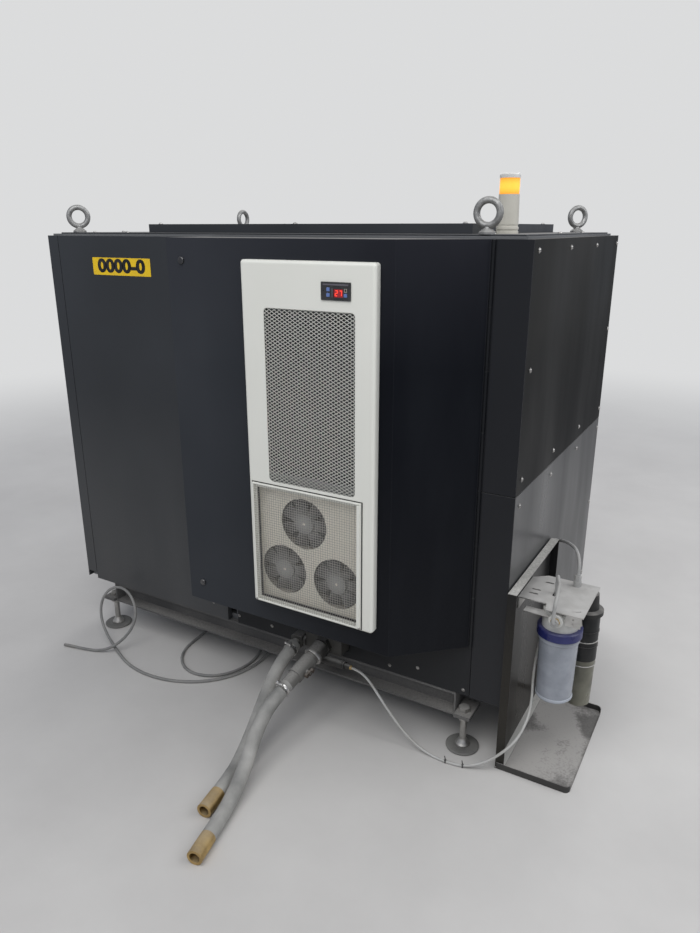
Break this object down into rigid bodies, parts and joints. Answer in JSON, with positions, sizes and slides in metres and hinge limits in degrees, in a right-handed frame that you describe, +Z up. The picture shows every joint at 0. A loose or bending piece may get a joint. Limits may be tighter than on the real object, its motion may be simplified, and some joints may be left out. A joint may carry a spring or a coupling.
{
  "type": "fiber laser source cabinet",
  "caption": "Floor-standing steel cabinet on levelling feet with a deep hinged door carrying an enclosure cooler, lifting eyes, a beacon, water hoses and a side stand of water filters.",
  "frame": {"origin": "bottom centre of the whole object on the floor, without the hoses and cables", "axes": "+X along the cabinet's width towards the filter stand, +Y from the door to the back, +Z up"},
  "size_m": [1.892, 1.7287, 1.624],
  "materials": {
    "black_paint": "fine textured powder coat, satin",
    "lower_paint": "powder coat, satin, a little brighter",
    "base_paint": "dusty dark paint",
    "stand_steel": "stained sheet steel with a dark front edge",
    "tray_paint": "dark paint under dust",
    "zinc": "dull zinc plating",
    "bright_steel": "bright plated",
    "pad_rubber": "matt",
    "frame_steel": "grey primer",
    "cream_paint": "cream powder coat, satin",
    "galvanised": "galvanised sheet",
    "mesh_grey": "grey paint",
    "fan_black": "matt",
    "fin_aluminium": "thin fins",
    "bezel_black": "satin",
    "button_blue": "matt",
    "amber_lens": "translucent",
    "white_plastic": "satin",
    "beacon_cream": "matt",
    "navy_plastic": "satin",
    "clear_sump": "translucent blue-grey",
    "clear_bowl": "translucent olive",
    "filter_media": "wound fibre",
    "brass": "dull",
    "grey_pipe": "matt",
    "valve_grey": "satin",
    "hose_rubber": "dusty grey",
    "cable_grey": "dusty grey",
    "line_white": "satin",
    "handle_brown": "matt",
    "module_silver": "anodised",
    "supply_grey": "satin"
  },
  "bodies": {
    "body": {"base_frame": "base_paint", "foot_screws": "bright_steel", "foot_pads": "pad_rubber", "floor_pan": "frame_steel", "cabinet_frame": "frame_steel", "left_side_panel": "black_paint", "left_front_panel": "black_paint", "plinth_panel": "lower_paint", "corner_covers": "black_paint", "side_panel_upper": "black_paint", "side_panel_lower": "lower_paint", "rear_panels": "black_paint", "lid_plate": "black_paint", "top_cover": "black_paint", "eye_bolts": "zinc", "beacon_body": "beacon_cream", "beacon_lens": "amber_lens", "beacon_cap": "white_plastic", "hinge_fixed": "zinc", "filter_stand": "stand_steel", "drip_tray": "tray_paint", "filter_bracket": "zinc", "near_filter_head": "white_plastic", "near_filter_ring": "navy_plastic", "near_filter_sump": "clear_sump", "near_filter_cartridge": "filter_media", "far_filter_head": "fan_black", "far_filter_bowl": "clear_bowl", "filter_pipework": "grey_pipe", "water_manifold": "valve_grey", "water_valve": "valve_grey", "cable_glands": "fan_black", "hose_a": "hose_rubber", "hose_b": "hose_rubber", "hose_couplings": "brass", "filter_line": "line_white", "left_cable": "cable_grey", "floor_cable": "cable_grey", "laser_modules": "module_silver", "module_rack": "frame_steel", "power_supplies": "supply_grey", "beam_combiner": "module_silver"},
    "door": {"door_box": "black_paint", "door_screws": "bright_steel", "hinge_moving": "zinc", "cooler_case": "galvanised", "cooler_front": "cream_paint", "cooler_mesh": "mesh_grey", "filter_cover": "mesh_grey", "fan_plate": "galvanised", "controller_bezel": "bezel_black", "cooler_coils": "fin_aluminium"},
    "fan_1": {"fan_rotor_1": "fan_black"},
    "fan_2": {"fan_rotor_2": "fan_black"},
    "fan_3": {"fan_rotor_3": "fan_black"},
    "blower": {"blower_wheel": "galvanised"},
    "button_1": {"controller_button_1": "button_blue"},
    "button_2": {"controller_button_2": "button_blue"},
    "button_3": {"controller_button_3": "button_blue"},
    "handle": {"valve_handle": "handle_brown"}
  },
  "joints": [
    {"name": "door_hinge", "type": "hinge", "parent": "body", "child": "door", "pos_m": [0.633, -0.39831, 0.91], "axis": [0, 0, 1], "range_deg": [0, 110]},
    {"name": "fan_1_spin", "type": "hinge", "parent": "door", "child": "fan_1", "pos_m": [0.18, -0.54331, 0.697], "axis": [0, -1, 0], "continuous": true},
    {"name": "fan_2_spin", "type": "hinge", "parent": "door", "child": "fan_2", "pos_m": [0.11, -0.54331, 0.542], "axis": [0, -1, 0], "continuous": true},
    {"name": "fan_3_spin", "type": "hinge", "parent": "door", "child": "fan_3", "pos_m": [0.286, -0.54331, 0.537], "axis": [0, -1, 0], "continuous": true},
    {"name": "blower_spin", "type": "hinge", "parent": "door", "child": "blower", "pos_m": [0.214, -0.46331, 1.18], "axis": [0, -1, 0], "continuous": true},
    {"name": "button_1_press", "type": "slide", "parent": "door", "child": "button_1", "axis": [0, 1, 0], "range_m": [0, 0.0008], "stiffness_N_per_m": 400},
    {"name": "button_2_press", "type": "slide", "parent": "door", "child": "button_2", "axis": [0, 1, 0], "range_m": [0, 0.0008], "stiffness_N_per_m": 400},
    {"name": "button_3_press", "type": "slide", "parent": "door", "child": "button_3", "axis": [0, 1, 0], "range_m": [0, 0.0008], "stiffness_N_per_m": 400},
    {"name": "valve_turn", "type": "hinge", "parent": "body", "child": "handle", "pos_m": [0.1816, -0.54637, 0.21024], "axis": [1, 0, 0], "range_deg": [0, 90]}
  ]
}
